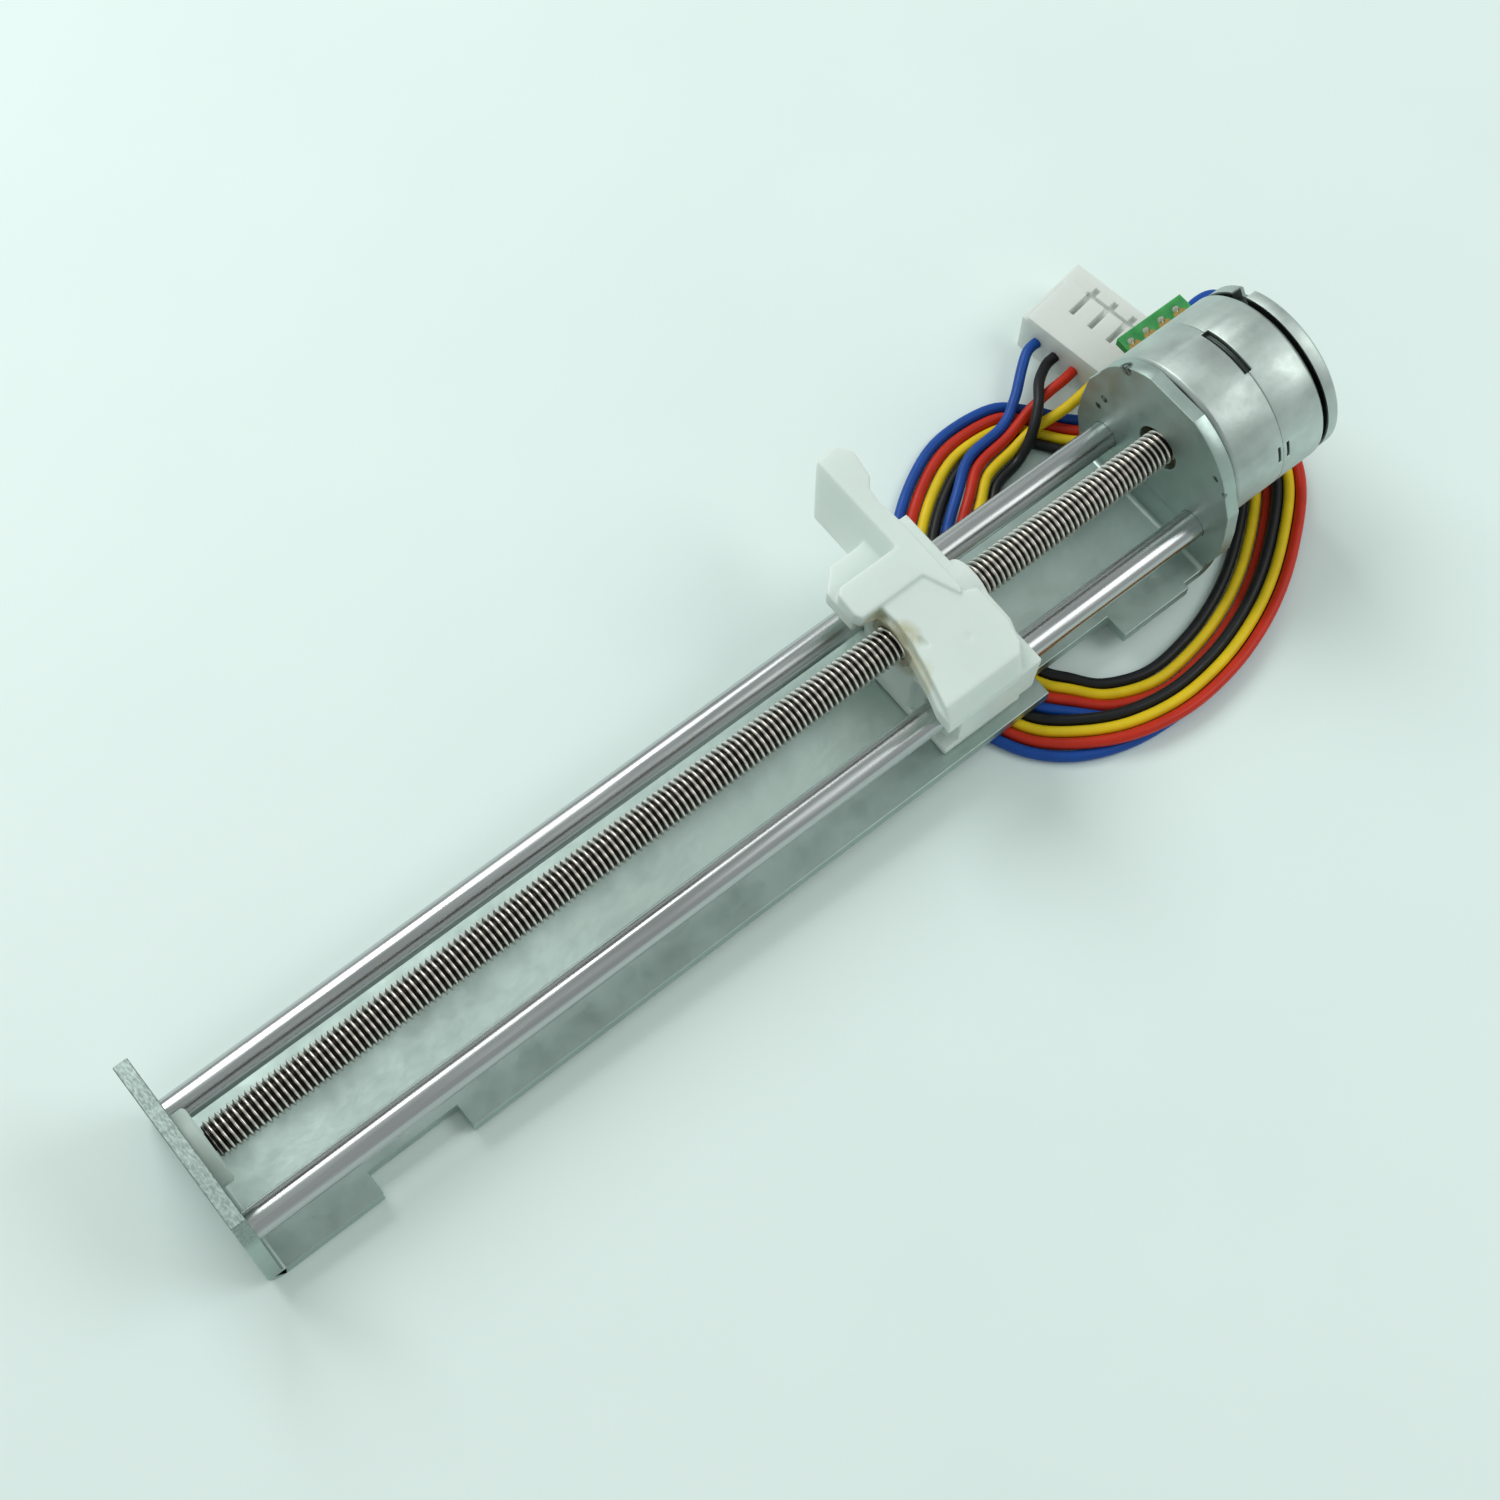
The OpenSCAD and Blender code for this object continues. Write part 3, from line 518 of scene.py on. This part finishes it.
copper = plain("copper", (0.6, 0.25, 0.12), 0.3, 1)
board_green = board("board_green", (0.02, 0.22, 0.055), (0.42, 0.27, 0.06), PADS)
solder = plain("solder", (0.75, 0.72, 0.6), 0.3, 1)
for obj, name, color in zip(wires, WIRES, WIRE_COLORS):
    obj.data.materials.append(insulation(name + "_pvc", color))

# What each material dresses, with the CAD nodes that a finer shape replaces too.
CAD_MATERIALS = (
    (zinc, ["bracket"]),
    (can_zinc, ["front_can", "rear_can", "front_pole_plate", "rear_pole_plate", "rear_cover"]),
    (rod_steel, ["guide_rod_left", "guide_rod_right", "thrust_ball"]),
    (screw_steel, ["lead_screw"]),
    (white_plastic, ["slider_body"]),
    (nut_plastic, ["drive_nut"]),
    (bush_plastic, ["end_bush"]),
    (conn_plastic, ["connector_housing"]),
    (black_plastic, ["front_bobbin", "rear_bobbin", "rotor_hub", "terminal_block", *WIRES]),
    (bronze, ["front_bearing", "rear_bearing"]),
    (magnet, ["rotor_magnet"]),
    (copper, ["front_coil", "rear_coil"]),
    (board_green, ["terminal_board"]),
    (solder, ["terminal_pins", "solder_joints", "connector_contacts"]),
)


def dress(obj, material):
    """Gives every slot of a CAD node the material."""
    if not obj.material_slots:
        obj.data.materials.append(material)
    for slot in obj.material_slots:
        slot.material = material


for material, names in CAD_MATERIALS:
    for name in names:
        dress(nodes[name], material)


# ---------------------------------------------------------------- lead screw

PITCH, MAJOR_R, DEPTH = 0.5, 1.5, 0.3
SCREW_START, SCREW_END = -43.7, 46.0     # x of the full diameter's ends
SIDES, ROWS = 36, 10                     # facets to a turn and rings to a pitch
ROOT_FLAT, FLANK = 0.12, 0.7             # shares of half a pitch
FADE_AT, FADE_IN, FADE_OUT = 0.1, 0.2, 0.4    # start of the thread, and lengths of its run-outs
CHAMFER = 0.3                            # at the start
OVERLAP = 0.01                           # of each journal with the full diameter
JOURNALS = ((-45.4, SCREW_START + OVERLAP, 0.75), (SCREW_END - OVERLAP, 55.9, 1.0))


def tube_faces(bm, lo, hi):
    """Walls between two rings of as many vertices."""
    for j in range(len(lo)):
        k = (j + 1) % len(lo)
        bm.faces.new((lo[j], lo[k], hi[k], hi[j]))


def ring(bm, x, radii):
    """Vertices round the screw's axis at x mm, one for each radius in mm."""
    verts = []
    for j, r in enumerate(radii):
        a = math.tau * j / len(radii)
        verts.append(bm.verts.new((x * MM, -r * math.sin(a) * MM, AXIS_Z + r * math.cos(a) * MM)))
    return verts


def thread_radius(x, j):
    """Radius at x on side j. The crest moves along +X as the side turns about +X."""
    phase = ((x - SCREW_START) / PITCH - j / SIDES) % 1
    height = min(1, max(0, (abs(phase - 0.5) * 2 - ROOT_FLAT) / FLANK))
    fade_in = max(0, (x - SCREW_START - FADE_AT) / FADE_IN)
    fade = min(1, fade_in, max(0, (SCREW_END - x) / FADE_OUT))
    return MAJOR_R - DEPTH * (1 - height) * fade - max(0, CHAMFER - (x - SCREW_START))


def add_screw():
    """The screw with its right-hand thread as real geometry, and a journal at each end."""
    bm = bmesh.new()
    rings = int((SCREW_END - SCREW_START) / PITCH * ROWS)
    previous = None
    for i in range(rings + 1):
        x = SCREW_START + (SCREW_END - SCREW_START) * i / rings
        current = ring(bm, x, [thread_radius(x, j) for j in range(SIDES)])
        if previous:
            tube_faces(bm, previous, current)
        else:
            bm.faces.new(current)
        previous = current
    bm.faces.new(previous)
    for x0, x1, r in JOURNALS:
        lo, hi = ring(bm, x0, [r] * SIDES), ring(bm, x1, [r] * SIDES)
        tube_faces(bm, lo, hi)
        bm.faces.new(lo)
        bm.faces.new(hi)
    bmesh.ops.recalc_face_normals(bm, faces=bm.faces)
    mesh = bpy.data.meshes.new("lead_screw_thread")
    bm.to_mesh(mesh)
    bm.free()
    for face in mesh.polygons:
        face.use_smooth = len(face.vertices) == 4
    obj = bpy.data.objects.new("lead_screw_thread", mesh)
    bpy.context.collection.objects.link(obj)
    mesh.materials.append(screw_steel)
    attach(obj, "spindle")
    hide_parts("lead_screw")


add_screw()


# ---------------------------------------------------------------- slider

VOXEL = 0.11


def add_slider():
    """The slider's CAD solid, remeshed and smoothed so that its edges look moulded."""
    source = nodes["slider_body"]
    obj = bpy.data.objects.new("slider_moulding", source.data.copy())
    bpy.context.collection.objects.link(obj)
    obj.matrix_world = source.matrix_world.copy()
    remesh = obj.modifiers.new("voxels", "REMESH")
    remesh.mode = "VOXEL"
    remesh.voxel_size = VOXEL * MM
    remesh.use_smooth_shade = True
    relax = obj.modifiers.new("relax", "SMOOTH")
    relax.factor = 0.5
    relax.iterations = 7
    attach(obj, "slider")
    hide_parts("slider_body")


add_slider()


# ---------------------------------------------------------------- rounded edges

ROUND = (
    ("bracket", 0.09), ("front_can", 0.1), ("rear_can", 0.1), ("rear_cover", 0.12),
    ("end_bush", 0.12), ("connector_housing", 0.12), ("terminal_board", 0.04),
    ("connector_contacts", 0.03),
)


def soften(obj, width):
    """Welds a CAD node's split corners and rounds its edges by width, in metres."""
    weld = obj.modifiers.new("weld", "WELD")
    weld.merge_threshold = 1e-6
    bevel = obj.modifiers.new("round", "BEVEL")
    bevel.width = width
    bevel.segments = 3
    bevel.limit_method = "ANGLE"
    bevel.angle_limit = math.radians(35)
    bevel.harden_normals = True


for name, width in ROUND:
    soften(nodes[name], width * MM)


# ---------------------------------------------------------------- floor and light

# From here on, everything is in metres.
FLOOR_HALF = 3
WORLD_COLOR = (0.93, 1.0, 0.98, 1)
WORLD_STRENGTH = 0.46
LAMP_COLOR = (0.97, 1, 0.985)
LAMP_TARGET = (0.01, 0, 0)
# Name, place, size and watts.
LAMPS = (("key", (-0.02, 0.36, 0.4), 0.36, 1.45), ("fill", (0.3, -0.2, 0.36), 0.3, 0.6))


def add_floor():
    """A pale table that falls away gently, so that both the stage and its wires rest on it."""
    mesh = bpy.data.meshes.new("table_top")
    corners = [(-FLOOR_HALF, -FLOOR_HALF), (FLOOR_HALF, -FLOOR_HALF),
               (FLOOR_HALF, FLOOR_HALF), (-FLOOR_HALF, FLOOR_HALF)]
    verts = [(x, y, -TABLE_SLOPE * (x + HALF_LEN * MM)) for x, y in corners]
    mesh.from_pydata(verts, [], [(0, 1, 2, 3)])
    obj = bpy.data.objects.new("table_top", mesh)
    bpy.context.collection.objects.link(obj)
    n = Nodes("table_paint", (0.78, 0.89, 0.86), 0.5)
    n.color(n.mix(n.span(n.noise(40, 3), 0, 1), (0.77, 0.88, 0.85), (0.79, 0.9, 0.87)))
    mesh.materials.append(n.mat)


def add_lamp(name, place, size, power):
    """A round area lamp that looks at the middle of the stage."""
    data = bpy.data.lights.new(name, "AREA")
    data.shape = "DISK"
    data.size = size
    data.energy = power
    data.color = LAMP_COLOR
    obj = bpy.data.objects.new(name, data)
    obj.location = place
    obj.rotation_euler = (Vector(LAMP_TARGET) - Vector(place)).to_track_quat("-Z", "Y").to_euler()
    bpy.context.collection.objects.link(obj)


def add_light():
    """An even pale surround, and the lamps."""
    world = bpy.data.worlds.new("studio")
    world.use_nodes = True
    background = world.node_tree.nodes["Background"]
    background.inputs["Color"].default_value = WORLD_COLOR
    background.inputs["Strength"].default_value = WORLD_STRENGTH
    bpy.context.scene.world = world
    bpy.context.scene.view_settings.view_transform = "Standard"
    for lamp in LAMPS:
        add_lamp(*lamp)


add_floor()
add_light()
